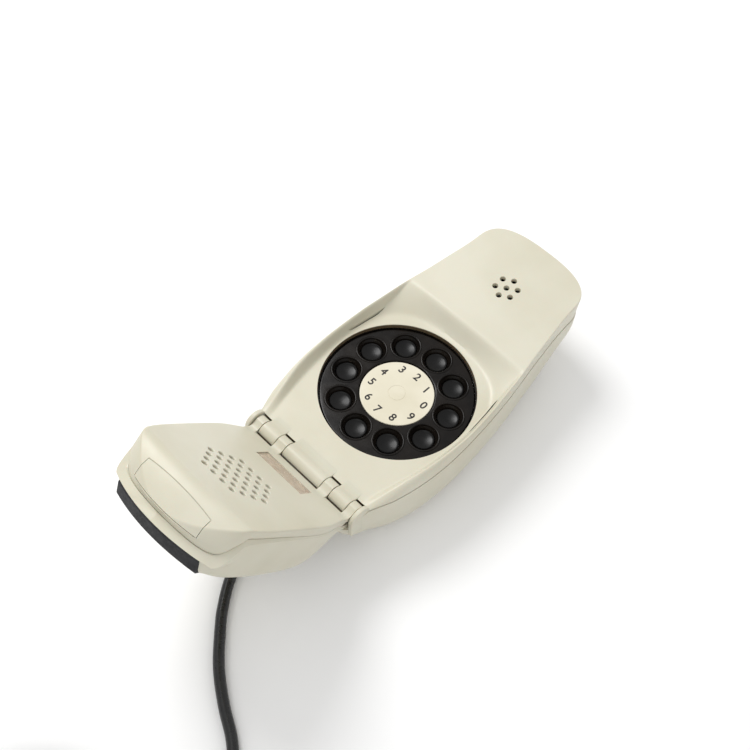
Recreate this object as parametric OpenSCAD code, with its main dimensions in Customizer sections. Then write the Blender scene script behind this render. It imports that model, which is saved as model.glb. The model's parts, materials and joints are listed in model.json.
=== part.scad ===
// Folding desk telephone: a handset body lying on its back with a rotary dial in its well,
// and a mouthpiece flap that folds over the dial.
// +Y runs from the hinge to the earpiece, +Z is up, and z = 0 is the table.

/* [Body] */
// Greatest width of the body, at the seam
body_w = 83; // [81:0.5:85]
// Height of the seam between the two body shells
seam_z = 35; // [34.5:0.1:35.2]
// Height of the floor of the dial well
floor_z = 35.5; // [35.3:0.1:35.8]
// Wall of every plastic moulding
wall = 2.2; // [2:0.1:2.4]
// Squareness of the shells' cross-sections
squareness = 5; // [4:0.5:6]

/* [Hinge] */
// Angle of the open flap above the line of the closed one
open_angle = 130; // [124:1:134]
// Radius of the hinge barrel
barrel_r = 4; // [3.8:0.1:4.1]
// Radius of the hinge pin
pin_r = 1.5; // [1.3:0.1:1.6]

/* [Flap] */
// Height of the flap's face above the hinge axis when it is closed
face_b = 2.25; // [2.2:0.05:2.6]
// Reach of the flap from the hinge axis to its tip
flap_reach = 91.3; // [90:0.1:92]

/* [Dial] */
// Radius of the opening in the floor
dial_opening_r = 35.3; // [35.1:0.1:35.5]
// Radius of the circle of finger holes
hole_circle_r = 25.3; // [25:0.1:25.6]
// Radius of a finger hole below its funnel
hole_r = 5.1; // [5:0.05:5.3]
// Angle of the hole of digit 1 from the +X side
first_hole_angle = 53.4; // [52:0.1:55]

/* [Capsules] */
// Radius of the receiver capsule
receiver_r = 19.5; // [17:0.5:20]
// Radius of the transmitter capsule
transmitter_r = 18.5; // [16:0.5:19]

/* [Cord] */
// Diameter of the line cord
cord_d = 5; // [4.8:0.1:5.2]
// Radius of the outermost turn of the stored coil
coil_r = 39; // [38:0.5:40]

/* [Hidden] */
$fn = 64;
fit = 0.05;           // radial clearance of a shaft in its hole
dial_y = 17;          // dial centre
plate_z = 33;         // plane of the finger-hole rims
hole_count = 10;
hinge_y = -38;
hinge_z = 33.9;
tip_y = 115.9;        // earpiece end
tip_start = 98;       // where the plan begins to round towards the tip
end_y = -47;          // hinge end
plateau_y = 59.9;     // straight edge above the dial well
tilt = 5;             // slope of the earpiece plateau
lip = 1.2;            // thickness of the front shell's tongue inside the rear shell
tongue_z = 32.5;

// Half width of the body at the seam, of the rim's crest, height of the crest, height of the base
side_pts = [[-47, 26.5], [-43, 31.2], [-38, 33.2], [-33, 34], [-28, 35.9], [-22, 38], [-8, 40.6],
            [8, body_w / 2], [27, 40.4], [49, 37.6], [77, 32.4], [98, 29.4], [116, 29.3]];
crest_pts = [[-47, 31], [-33, 31.7], [-19, 34.8], [-8, 37.3], [2, 38.7], [17, 39.5], [33, 38.7],
             [45, 37.2], [58, 35.4], [69, 33.3], [80, 31.6], [98, 29.1], [116, 29]];
crest_z_pts = [[-47, 35.7], [-33, 36], [-19, 39], [-8, 40.4], [10, 40.5], [23, 40.6], [60, 43.8], [116, 48.7]];
base_pts = [[-47, 23], [-45, 18.5], [-41, 13.5], [-35, 9], [-27, 4.6], [-18, 1.6], [-8, -0.3], [75, -0.3],
            [88, 5], [98, 12], [106, 20], [112, 28], [116, 34.2]];
// Flap, in its own frame: reach along +Y from the hinge axis, depth along +Z from its face to its back
flap_side_pts = [[-5, 29.4], [0, 30.2], [8, 30.6], [24, 32.9], [45, 32.6], [66, 31.6], [78, 30.4], [92, 28]];
flap_back_pts = [[-5, 6.2], [0, 7], [3.7, 9.7], [7.7, 14.7], [12.7, 23.7], [19.7, 28.7], [28, 30.8],
                 [52, 31.6], [68, 30.7], [80, 29.8], [86, 28.6], [89, 25], [90.6, 20]];
flap_seam_pts = [[-5, 5.6], [0, 6.2], [8, 6.6], [74, 6.6], [78, 8], [82.5, 17.6], [92, 17.9]];

// Catmull-Rom curve through [position, value] points
function seg(x, p, i = 0) = (i >= len(p) - 2 || x < p[i + 1][0]) ? i : seg(x, p, i + 1);
function slope(p, i) = let (a = max(i - 1, 0), b = min(i + 1, len(p) - 1)) (p[b][1] - p[a][1]) / (p[b][0] - p[a][0]);
function curve(x, p) = let (q = min(max(x, p[0][0]), p[len(p) - 1][0]), i = seg(q, p),
    h = p[i + 1][0] - p[i][0], t = (q - p[i][0]) / h)
    p[i][1] * (2 * t ^ 3 - 3 * t ^ 2 + 1) + slope(p, i) * h * (t ^ 3 - 2 * t ^ 2 + t)
    + p[i + 1][1] * (3 * t ^ 2 - 2 * t ^ 3) + slope(p, i + 1) * h * (t ^ 3 - t ^ 2);
function clamp01(t) = min(max(t, 0), 1);

// Body outline: the sides, closed by a superelliptic tip
function tip_factor(y, inset) = (1 - clamp01((y - tip_start) / (tip_y - inset - tip_start)) ^ 3.2) ^ (1 / 2.6);
function side_w(y, inset = 0) = max((curve(y, side_pts) - inset) * tip_factor(y, inset), 0.2);
function crest_w(y, inset = 0) = max((curve(y, crest_pts) - inset) * tip_factor(y, inset), 0.15);
// Height of the front shell's skin: the well floor, its walls, and the plateau, all very slightly crowned
function crown(x) = 0.04 * (1 - (x / 40) ^ 2);
function well_y(x) = dial_y + 37.5 * (1 - clamp01(abs(x) / 36.8) ^ 2.75) ^ (1 / 2.75);
function skin_z(x, y) = let (wy = well_y(x), fs = curve(y, crest_pts) - 2.7,
    front = (y - wy) / (plateau_y - wy), flank = (abs(x) - fs) / 2.7)
    floor_z + (curve(y, crest_z_pts) - floor_z) * clamp01(max(front, flank)) + crown(x);

// Stations along the body, closer together at the tip
function tip_stations(inset) = [for (a = [10:10:80]) tip_start + (tip_y - inset - tip_start) * sin(a)];
function stations(from, inset) = concat([for (y = [from:3.5:tip_start - 0.5]) y], [tip_start],
    tip_stations(inset), [tip_y - inset - 0.05]);

// Solid through rings of equal length
function reversed(r) = [for (i = [len(r) - 1:-1:0]) r[i]];
module loft(rings) {
    n = len(rings[0]);
    last = len(rings) - 1;
    points = [for (r = rings) for (q = r) q];
    sides = [for (j = [0:last - 1]) for (i = [0:n - 1]) let (k = (i + 1) % n)
        each [[j * n + i, j * n + k, (j + 1) * n + k], [j * n + i, (j + 1) * n + k, (j + 1) * n + i]]];
    polyhedron(points, concat(sides, [[for (i = [n - 1:-1:0]) i]], [[for (i = [0:n - 1]) last * n + i]]), 6);
}

// Tube of constant radius along a path
function unit(v) = v / norm(v);
function tangent(p, i) = unit(p[min(i + 1, len(p) - 1)] - p[max(i - 1, 0)]);
function frames(p, i, side) = i >= len(p) ? [] :
    let (t = tangent(p, i), s = unit(side - (side * t) * t)) concat([[p[i], s, cross(t, s)]], frames(p, i + 1, s));
module tube(path, r, sides, side) {
    loft([for (f = frames(path, 0, side)) [for (k = [0:sides - 1]) let (a = -360 * k / sides)
        f[0] + r * cos(a) * f[1] + r * sin(a) * f[2]]]);
}
// Smooth points between the route's own points
function route(p, steps) = concat([for (i = [0:len(p) - 2]) for (k = [0:steps - 1]) let (t = k / steps,
    a = p[max(i - 1, 0)], b = p[i], c = p[i + 1], d = p[min(i + 2, len(p) - 1)])
    b + 0.5 * t * (c - a) + t ^ 2 * (a - 2.5 * b + 2 * c - 0.5 * d) + t ^ 3 * (1.5 * (b - c) + 0.5 * (d - a))],
    [p[len(p) - 1]]);

// ---- body shells ----
across = [1, 0.97, 0.932, 0.88, 0.8, 0.7, 0.6, 0.45, 0.3, 0.15];
columns = concat(across, [0], [for (i = [len(across) - 1:-1:0]) -across[i]]);
function front_ring(y) = let (s = side_w(y), c = min(crest_w(y), s), cz = curve(y, crest_z_pts), e = min(0.6, s / 4))
    concat([[s, y, seam_z], [c + (s - c) * 0.4, y, cz - 0.9]],
    [for (a = columns) [a * (c - e), y, skin_z(a * (c - e), y)]],
    [[-c - (s - c) * 0.4, y, cz - 0.9], [-s, y, seam_z]],
    [for (q = [[-1, seam_z + 0.3], [-1, tongue_z], [1, tongue_z], [1, seam_z + 0.3]])
        [q[0] * max(s - wall - 0.1, 0.1), y, q[1]]]);
// The cavity's roof rises from below the tongue, so that the hinge end stays solid
cavity_start = -28.4;
function front_cavity_ring(y) = let (s = side_w(y, wall + lip + 0.1), c = min(crest_w(y, wall), s),
    under = wall + 3 * clamp01((cavity_start + 3.5 - y) / 3.5))
    concat([[s, y, 20]], [for (a = columns) [a * s, y, max(skin_z(a * c * 1.03, y) - under, 22)]], [[-s, y, 20]]);

function under_ring(y, inset, top) = let (s = side_w(y, inset),
    low = curve(min(y + (y > 0 ? inset : -inset), tip_y), base_pts) + inset, d = seam_z - low)
    [for (i = [28:-1:0]) let (a = 180 * i / 28, cx = cos(a), cz = sin(a),
        k = (abs(cx) ^ squareness + abs(cz) ^ squareness) ^ (-1 / squareness))
        [s * cx * k, y, i == 0 || i == 28 ? top : seam_z - max(d, 0.5) * cz * k]];

boss_spots = [[-27, -23], [27, -23], [-25, 66], [25, 66]];
boss_r = 3.4;
boss_z = 12;

module barrel(x0, x1, r, y = hinge_y, z = hinge_z)
    translate([x0, y, z]) rotate([0, 90, 0]) cylinder(r = r, h = x1 - x0);

module rear_shell() color("ivory") difference() {
    union() {
        difference() {
            loft([for (y = stations(end_y, 0)) under_ring(y, 0, seam_z)]);
            difference() {
                loft([for (y = stations(end_y + wall, wall)) under_ring(y, wall, seam_z + 1)]);
                for (p = boss_spots) translate([p[0], p[1], -1]) cylinder(r = boss_r, h = boss_z + 1);
            }
            // flat base
            translate([-60, -60, -5]) cube([120, 200, 5]);
            // room for the flap's hinge end between the ears
            translate([-ear_in, end_y - 1, end_top]) cube([2 * ear_in, hinge_y - end_y + 1, 20]);
            barrel(-ear_in, ear_in, 8.2);
        }
        for (m = [0, 1]) mirror([m, 0, 0]) difference() {
            hull() {
                barrel(ear_in, ear_out, ear_r);
                translate([ear_in, hinge_y - ear_r, 24]) cube([ear_out - ear_in, 2 * ear_r, 1]);
            }
            translate([0, hinge_y + ear_r - 1.3, seam_z]) cube(50);
        }
    }
    for (p = boss_spots) translate([p[0], p[1], -1]) {
        cylinder(r = screw_r + 0.2, h = 40);
        cylinder(r = screw_head_r + 0.2, h = boss_z - 0.9);
    }
    barrel(-40, 40, pin_r + fit);
    at_exit() cylinder(r = relief_r + fit, h = 16, center = true);
}
end_top = 27;
ear_in = 31;
ear_out = 33.2;
ear_r = 5.3;
screw_r = 1.45;
screw_head_r = 2.5;

body_knuckles = [[-26.2, -17], [-11.3, 11.3], [17, 26.2]];
flap_knuckles = [[-30.5, -26.5], [-16.7, -11.6], [11.6, 16.7], [26.5, 30.5]];
front_start = -33.4;
receiver_y = 87.7;
receiver_z = 46.2;
module at_receiver() translate([0, receiver_y, receiver_z]) rotate([tilt, 0, 0]) children();

module front_shell() color("ivory") difference() {
    union() {
        difference() {
            loft([for (y = stations(front_start - 3.5, 0)) front_ring(y)]);
            translate([-60, front_start - 20, 20]) cube([120, 20, 40]);
            loft([for (y = stations(cavity_start, wall + lip + 0.1)) front_cavity_ring(y)]);
        }
        for (k = body_knuckles) {
            barrel(k[0], k[1], barrel_r);
            translate([k[0], hinge_y, tongue_z + 0.5]) cube([k[1] - k[0], 6, floor_z - tongue_z - 0.7]);
        }
        for (p = boss_spots) translate([p[0], p[1], boss_z])
            cylinder(r = boss_r, h = skin_z(p[0], p[1]) - boss_z - 1);
    }
    barrel(-40, 40, pin_r + fit);
    barrel(-11.4, 11.4, spring_bore_r);
    for (p = boss_spots) translate([p[0], p[1], boss_z - 1]) cylinder(r = screw_r + fit, h = 13);
    translate([0, dial_y, 20]) cylinder(r = dial_opening_r, h = 30, $fn = 128);
    for (a = dial_screw_angles) at_dial(38.5, a) translate([0, 0, 30]) cylinder(r = 1.25, h = 4.7);
    at_receiver() receiver_holes(20);
}
spring_bore_r = 3.2;
dial_screw_angles = [90, 210, 330];
module at_dial(r, a) translate([0, dial_y, 0]) rotate([0, 0, a]) translate([r, 0, 0]) children();
module receiver_holes(depth) {
    translate([0, 0, -depth / 2]) cylinder(r = 1.3, h = depth);
    for (a = [30:60:330]) rotate([0, 0, a]) translate([5.26, 0, -depth / 2]) cylinder(r = 1.3, h = depth);
}

module body_screws() color("silver") for (p = boss_spots) translate([p[0], p[1], 0]) difference() {
    union() {
        translate([0, 0, boss_z - 4.5]) cylinder(r = screw_head_r, h = 2.5);
        translate([0, 0, boss_z - 2]) cylinder(r = screw_r, h = 12);
    }
    translate([-0.4, -2, boss_z - 5]) cube([0.8, 4, 1.5]);
}

// ---- hinge ----
module hinge_pin() color("silver") barrel(-33, 33, pin_r);
module hinge_spring() color("gray")
    tube([for (a = [0:30:360 * 9]) [-9 + 2 * a / 360, hinge_y + 2.35 * cos(a), hinge_z + 2.35 * sin(a)]],
        0.5, 5, [1, 0, 0]);

// ---- receiver ----
module receiver_gasket() color("black") at_receiver() difference() {
    translate([0, 0, -wall - 2.1]) cylinder(r = receiver_r - 0.5, h = 2);
    translate([0, 0, -10]) cylinder(r = 13, h = 20);
}
module receiver_capsule() color("dimgray") at_receiver() difference() {
    union() {
        translate([0, 0, -12]) cylinder(r = receiver_r, h = 12 - wall - 2.1);
        translate([0, 0, -14.5]) cylinder(r = 12, h = 3);
    }
    for (a = [0:60:300]) rotate([0, 0, a]) translate([6, 0, -6]) cylinder(r = 1.2, h = 4);
}

// ---- electronics ----
board_z = 14;
module circuit_board() color("peru") difference() {
    translate([-19, 58, board_z]) cube([38, 34, 1.6]);
    for (x = [-16, 16]) for (y = [61, 89]) translate([x, y, board_z - 1]) cylinder(r = 1.6, h = 4);
}
module line_transformer() color("darkgoldenrod") translate([-14, 61, board_z + 1.6]) {
    cube([15, 14, 3]);
    translate([2, 1, 3]) cube([11, 12, 5]);
    translate([0, 0, 8]) cube([15, 14, 3]);
}
module line_capacitor() color("gold") translate([9.5, 61, board_z + 7]) rotate([-90, 0, 0]) cylinder(r = 5.3, h = 18);
module terminal_block() color("dimgray") difference() {
    translate([-13, 81, board_z + 1.6]) cube([26, 8, 8]);
    for (x = [-9:6:9]) translate([x, 85, board_z + 5]) cylinder(r = 1.8, h = 6);
}

// ---- hook switch ----
hook_x = 14.2;
hook_z = 30.4;
hook_r = 1.2;
module hook_switch() color("black") difference() {
    translate([hook_x - 5, -31, 22]) cube([10, 9, 10.2]);
    translate([hook_x, -35, hook_z]) rotate([-90, 0, 0]) cylinder(r = hook_r + fit, h = 10.5);
}
module hook_plunger() color("white") translate([hook_x, -34.2, hook_z]) rotate([-90, 0, 0]) cylinder(r = hook_r, h = 7.5);

// ---- dial ----
wheel_r = 34.4;
wheel_z = 26;          // underside of the wheel
hub_r = 5.5;
spindle_r = 3;
frame_z = 20;          // underside of the frame plate
bridge_z = 6;          // underside of the lower bridge
drive_teeth = 48;
pinion_teeth = 12;
gear_module = 2 / 3;
second_module = 0.6;
second_teeth = 36;
governor_teeth = 12;
train_angle = 210;
train_reach = (drive_teeth + pinion_teeth) * gear_module / 2;
pulse_at = [train_reach * cos(train_angle), dial_y + train_reach * sin(train_angle)];
governor_at = pulse_at + [0, -(second_teeth + governor_teeth) * second_module / 2];
function hole_angle(i) = first_hole_angle + 360 / hole_count * i;

module finger_wheel() color([0.08, 0.07, 0.06]) translate([0, dial_y, 0]) difference() {
    union() {
        translate([0, 0, wheel_z]) cylinder(r = wheel_r, h = plate_z + 0.4 - wheel_z, $fn = 128);
        translate([0, 0, 19.1]) cylinder(r = hub_r, h = 8);
        translate([0, 0, 17]) cylinder(r = hub_r - 1, h = 3);
    }
    translate([0, 0, 10]) cylinder(r = spindle_r + fit, h = 40);
    translate([0, 0, 31]) cylinder(r = 17.1, h = 5, $fn = 96);
    for (i = [0:hole_count - 1]) rotate([0, 0, hole_angle(i)]) translate([hole_circle_r, 0, 0]) {
        translate([0, 0, 27.5]) cylinder(r = hole_r, h = 10);
        translate([0, 0, 31.4]) cylinder(r1 = hole_r, r2 = 6.3, h = plate_z + 0.42 - 31.4);
        translate([0, 0, 20]) cylinder(r = 1.65 + fit, h = 10);
    }
}
module plunger(i) color([0.03, 0.03, 0.035]) at_dial(hole_circle_r, hole_angle(i)) difference() {
    union() {
        translate([0, 0, 29.7]) cylinder(r = hole_r - 0.1, h = 1.9);
        translate([0, 0, wheel_z - 0.1]) cylinder(r = 1.65, h = 5);
    }
    translate([0, 0, 37]) sphere(r = 6.7);
}
module number_plate() color("ivory") translate([0, dial_y, 31.6]) cylinder(r = 16.7, h = 1.3, $fn = 96);
module dial_spindle() color("silver") translate([0, dial_y, 0]) {
    translate([0, 0, bridge_z + 1.5]) cylinder(r = spindle_r, h = 31.6 - bridge_z - 1.5);
    translate([0, 0, bridge_z + 1.5]) cylinder(r = 5, h = 2);
}
module dial_housing() color([0.06, 0.05, 0.05]) difference() {
    union() {
        translate([0, dial_y, frame_z + 1.5]) cylinder(r = 36.4, h = 33.2 - frame_z - 1.5, $fn = 128);
        for (a = dial_screw_angles) at_dial(0, a) hull() {
            translate([38.5, 0, 30]) cylinder(r = 2.8, h = 3.2, $fn = 32);
            translate([34, 0, 30]) cylinder(r = 4, h = 3.2, $fn = 32);
        }
    }
    translate([0, dial_y, 0]) cylinder(r = 34.8, h = 50, $fn = 128);
    for (a = dial_screw_angles) at_dial(38.5, a) translate([0, 0, 25]) cylinder(r = 1.3, h = 10);
}
module dial_screws() color("silver") for (a = dial_screw_angles) at_dial(38.5, a) {
    translate([0, 0, 28.2]) cylinder(r = 1.9, h = 1.75);
    translate([0, 0, 28.2]) cylinder(r = 1.2, h = 6.3);
}
module dial_frame() color("silver") difference() {
    union() {
        translate([0, dial_y, frame_z]) cylinder(r = 36.2, h = 1.5, $fn = 128);
        translate([0, dial_y, frame_z]) cylinder(r = 9, h = 4.5);
    }
    translate([0, dial_y, 10]) cylinder(r = hub_r + fit, h = 30);
    translate([pulse_at[0], pulse_at[1], 10]) cylinder(r = 1 + fit, h = 20);
    translate([governor_at[0], governor_at[1], 10]) cylinder(r = 0.8 + fit, h = 20);
    for (p = pillar_spots) translate([p[0], p[1], 10]) cylinder(r = 1.2, h = 20);
}
pillar_spots = [[16, dial_y + 20], [24, dial_y - 12], [-31.4, dial_y - 3]];
module lower_bridge() color("silver") {
    difference() {
        hull() for (p = concat(pillar_spots, [[governor_at[0], governor_at[1] - 2]]))
            translate([p[0], p[1], bridge_z]) cylinder(r = 3.4, h = 1.5, $fn = 32);
        translate([pulse_at[0], pulse_at[1], 0]) cylinder(r = 1 + fit, h = 20);
        translate([governor_at[0], governor_at[1], 0]) cylinder(r = 0.8 + fit, h = 20);
    }
    for (p = pillar_spots) translate([p[0], p[1], bridge_z + 1.5]) cylinder(r = 2.4, h = frame_z - bridge_z - 1.5);
}
module finger_stop() color("silver") at_dial(hole_circle_r, first_hole_angle - 18)
    translate([-2.5, -1.2, frame_z + 1.5]) cube([5, 2.4, wheel_z - 0.4 - frame_z - 1.5]);
module mainspring() color("gray") translate([0, dial_y, frame_z + 2]) linear_extrude(3) {
    inner = [for (a = [0:12:1440]) (10.4 + 6.4 * a / 1440) * [cos(a), sin(a)]];
    outer = [for (a = [1440:-12:0]) (10.9 + 6.4 * a / 1440) * [cos(a), sin(a)]];
    polygon(concat(inner, outer));
}

// Involute gear outline, with a little backlash
function involute(rb, r) = let (t = sqrt(max((r / rb) ^ 2 - 1, 0))) t * 180 / PI - atan(t);
module gear_outline(teeth, m) {
    pitch = teeth * m / 2;
    rb = pitch * cos(20);
    root = pitch - 1.25 * m;
    tip = pitch + 0.78 * m;
    half = 90 / teeth * 0.9 + involute(rb, pitch);
    radii = [for (k = [0:3]) max(rb, root) + (tip - max(rb, root)) * k / 3];
    polygon([for (n = [0:teeth - 1]) let (c = 360 * n / teeth) each concat(
        [root * [cos(c - half), sin(c - half)]],
        [for (r = radii) let (a = c - half + involute(rb, r)) r * [cos(a), sin(a)]],
        [for (k = [3:-1:0]) let (r = radii[k], a = c + half - involute(rb, r)) r * [cos(a), sin(a)]],
        [root * [cos(c + half), sin(c + half)]])]);
}
module drive_gear() color("goldenrod") translate([0, dial_y, 17]) linear_extrude(2) difference() {
    rotate(train_angle) gear_outline(drive_teeth, gear_module);
    circle(r = hub_r - 1);
}
module pulse_pinion() color("goldenrod") translate([pulse_at[0], pulse_at[1], 16.6]) linear_extrude(2.8) difference() {
    rotate(train_angle + 180 + 180 / pinion_teeth) gear_outline(pinion_teeth, gear_module);
    circle(r = 1);
}
module pulse_shaft() color("silver") translate([pulse_at[0], pulse_at[1], bridge_z]) cylinder(r = 1, h = 15.4);
module pulse_cam() color("white") translate([pulse_at[0], pulse_at[1], 13]) linear_extrude(2) difference() {
    union() {
        circle(r = 3);
        for (a = [0, 180]) rotate(a) translate([2.2, 0]) circle(r = 2.2);
    }
    circle(r = 1);
}
module pulse_gear() color("goldenrod") translate([pulse_at[0], pulse_at[1], 9.5]) linear_extrude(2) difference() {
    rotate(-90) gear_outline(second_teeth, second_module);
    circle(r = 1);
}
module governor_pinion() color("goldenrod") translate([governor_at[0], governor_at[1], 0]) {
    translate([0, 0, 9.2]) linear_extrude(2.6)
        rotate(90 + 180 / governor_teeth) gear_outline(governor_teeth, second_module);
    translate([0, 0, bridge_z]) cylinder(r = 0.8, h = 15.4);
}
module governor_weights() color("goldenrod") translate([governor_at[0], governor_at[1], 13.2]) linear_extrude(3.6) {
    for (a = [0, 180]) rotate(a) difference() {
        intersection() {
            difference() {
                circle(r = 7.4);
                circle(r = 4.6);
            }
            translate([-8, 0.6]) square([16, 8]);
        }
        translate([3, -1]) square([6, 3.5]);
    }
    difference() {
        union() {
            translate([-6.6, -0.6]) square([13.2, 1.4]);
            circle(r = 2.2);
        }
        circle(r = 0.8);
    }
}
module governor_cup() color("silver") translate([governor_at[0], governor_at[1], 12]) difference() {
    cylinder(r = 9, h = frame_z - 12);
    translate([0, 0, -1]) cylinder(r = 8, h = frame_z - 12);
    cylinder(r = 0.8 + fit, h = 20);
}
module pulse_contacts() color("khaki") {
    translate([-29, 20, 11]) cube([7.2, 9, frame_z - 11]);
    for (x = [-22.6, -24.4, -26.2]) translate([x, 3, 12.6]) cube([0.35, 18, 3]);
}

// ---- flap ----
module at_flap() translate([0, hinge_y, hinge_z]) rotate([open_angle, 0, 0]) children();
tip_bow = 0.011;       // curvature of the tip in plan
function flap_w(f, reach, bow, inset) = max(min(curve(f, flap_side_pts) - inset,
    sqrt(max(reach - inset - f, 0) / bow)), 0.2);
function crease_f(x) = flap_reach - 9.6 - 3.6 * (x / 30) ^ 2;
function edge_f(x) = flap_reach - tip_bow * x ^ 2;
function facet_b(x, f) = face_b - crown(x) + 13.4 * clamp01((f - crease_f(x)) / max(edge_f(x) - crease_f(x), 0.5)) ^ 1.8;
function flap_stations(from, reach) = concat([for (f = [from:4:76]) f], [for (f = [78:1.5:reach - 1.6]) f], [reach - 0.4]);
flap_columns = concat([1, 0.9, 0.75, 0.6, 0.4, 0.2, 0], [-0.2, -0.4, -0.6, -0.75, -0.9, -1]);
flap_start = 4.8;
function flap_front_ring(f) = let (w = flap_w(f, flap_reach, tip_bow, 0), s = max(curve(f, flap_seam_pts), facet_b(w, f) + 0.5),
    e = min(0.8, w / 4))
    reversed(concat([for (a = flap_columns) [a * (w - e), f, facet_b(a * (w - e), f)]],
    [[-w, f, min(facet_b(w, f) + 0.9, s - 0.1)], [-w, f, s], [w, f, s], [w, f, min(facet_b(w, f) + 0.9, s - 0.1)]]));
function flap_front_cavity(f) = let (w = flap_w(f, flap_reach, tip_bow, wall))
    reversed(concat([for (a = flap_columns) [a * w, f, facet_b(a * w, f + 1.6) + wall]], [[-w, f, 40], [w, f, 40]]));
back_reach = 90.6;
back_bow = 0.0098;
function flap_back_ring(f, inset, open_b) = let (w = flap_w(f, back_reach, back_bow, inset),
    s = open_b > 0 ? open_b : curve(f, flap_seam_pts) + 0.02,
    b = curve(f + (f > 40 ? inset : -inset), flap_back_pts) - inset, d = max(b - curve(f, flap_seam_pts), 0.4))
    [for (i = [24:-1:0]) let (a = 180 * i / 24, cx = cos(a), cz = sin(a),
        k = (abs(cx) ^ squareness + abs(cz) ^ squareness) ^ (-1 / squareness))
        [-w * cx * k, f, i == 0 || i == 24 ? s : curve(f, flap_seam_pts) + 0.02 + d * cz * k]];

flap_screw_spots = [[-24, 32], [24, 32], [-23, 72], [23, 72]];
mic_f = 52.4;
mic_pitch = 5.14;
module mic_holes() for (row = [-3:3]) for (k = [0:6 - abs(row)])
    translate([(k - (6 - abs(row)) / 2) * mic_pitch, mic_f + row * mic_pitch * sin(60), 0]) cylinder(r = 1.35, h = 8);
label = [26.8, 9.9];
label_f = 16.4;
cover_w = 34.6;
module cover_zone(grow) translate([-cover_w / 2 - grow, 86 - grow, -2]) cube([cover_w + 2 * grow, 20, 17.6 - facet_gap]);
facet_gap = 0.2;
module flap_front_solid() difference() {
    loft([for (f = flap_stations(flap_start, flap_reach)) flap_front_ring(f)]);
    loft([for (f = flap_stations(flap_start + 1, flap_reach - wall)) flap_front_cavity(f)]);
}
module flap_front() color("ivory") at_flap() difference() {
    union() {
        flap_front_solid();
        for (k = flap_knuckles) {
            barrel(k[0], k[1], barrel_r, 0, 0);
            translate([k[0], 0, face_b]) cube([k[1] - k[0], 6, wall - 0.5]);
        }
        for (p = flap_screw_spots) translate([p[0], p[1], face_b + 1]) cylinder(r = 3, h = 12);
    }
    cover_zone(0.12);
    barrel(-40, 40, pin_r + fit, 0, 0);
    mic_holes();
    translate([-label[0] / 2, label_f - label[1] / 2, 0]) cube([label[0], label[1], face_b + 1.1]);
    for (p = flap_screw_spots) translate([p[0], p[1], face_b + 3]) cylinder(r = 1.25, h = 20);
}
module tip_cover() color("ivory") at_flap() intersection() {
    flap_front_solid();
    cover_zone(-0.12);
}
module label_card() color([0.72, 0.6, 0.5]) at_flap() translate([-label[0] / 2 + 0.1, label_f - label[1] / 2 + 0.1, face_b + 0.6])
    cube([label[0] - 0.2, label[1] - 0.2, 0.45]);
module label_window() color([0.9, 0.9, 0.9, 0.4]) at_flap()
    translate([-label[0] / 2 + 0.1, label_f - label[1] / 2 + 0.1, face_b + 0.15]) cube([label[0] - 0.2, label[1] - 0.2, 0.4]);

bar_half = 22.5;
module bar_solid(grow) loft([for (k = [-8:8]) let (x = k * (bar_half + grow) / 8,
    top = 91 - 0.0097 * x ^ 2, low = 87 - 0.0088 * x ^ 2)
    [[x, top - 4, 21.9 - grow], [x, low - 3, 28.1 + grow], [x, low, 28.1 + grow], [x, top, 21.9 - grow]]]);
module flap_back() color("ivory") at_flap() difference() {
    loft([for (f = flap_stations(-4.3, back_reach)) flap_back_ring(f, 0, 0)]);
    difference() {
        loft([for (f = flap_stations(-4.3 + wall, back_reach - wall)) flap_back_ring(f, wall, 3)]);
        for (p = flap_screw_spots) translate([p[0], p[1], 15.4]) cylinder(r = 3.2, h = 20);
    }
    bar_solid(0);
    for (p = flap_screw_spots) translate([p[0], p[1], 10]) {
        cylinder(r = 1.6, h = 30);
        translate([0, 0, 8.5]) cylinder(r = 2.6, h = 20);
    }
}
module foot_bar() color([0.12, 0.12, 0.13]) at_flap() bar_solid(0);
module flap_screws() color("silver") at_flap() for (p = flap_screw_spots) translate([p[0], p[1], 0]) difference() {
    union() {
        translate([0, 0, 9]) cylinder(r = 1.2, h = 10);
        translate([0, 0, 18.5]) cylinder(r = 2.4, h = 2);
    }
    translate([-0.35, -2, 19.6]) cube([0.7, 4, 2]);
}
module transmitter_gasket() color("black") at_flap() translate([0, mic_f, face_b + wall + 0.1]) difference() {
    cylinder(r = transmitter_r, h = 1.5);
    translate([0, 0, -1]) cylinder(r = transmitter_r - 1.6, h = 4);
}
module transmitter_capsule() color("dimgray") at_flap() translate([0, mic_f, face_b + wall + 1.6]) {
    cylinder(r = transmitter_r, h = 9);
    translate([0, 0, 9]) cylinder(r = 9, h = 3);
}

// ---- line cord: out of the body's hinge end, over the table, into a coil, to the plug ----
exit_at = [0, -45.5, 18];
exit_drop = 28;        // degrees below the horizontal
relief_r = 4.6;
relief_l = 22;
coil_at = [38, -219];
coil_in_r = 21.3;      // innermost turn
tie_t = 0.6;           // thickness of the tie that the coil lies on
lead_route = [[0, -40, 20.9], [0, -46, 17.7], [0, -56, 12.4], [0, -65, 7.7], [0.6, -75, 4], [4, -86, 2.6],
              [12, -97.5, 2.5], [20, -106, 2.5], [31, -116, 2.5], [44, -124.5, 2.5], [57, -131.5, 2.5],
              [66.5, -140, 2.5], [72, -152, 2.5], [73.8, -166, 2.5], [74, -182, 2.5], [74.8, -198, 2.7],
              [76.5, -213, 3.1]];
tail_route = [[38, -180, 8.1], [50, -180, 8.1], [63, -180.8, 8.1], [75, -184, 8.1], [84.5, -191.5, 8.2],
              [90, -202, 8.1], [91.5, -212, 8], [91.5, -216, 8]];
plug_at = [91.5, -215, 8];
module at_exit() translate(exit_at) rotate([90 + exit_drop, 0, 0]) children();
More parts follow.
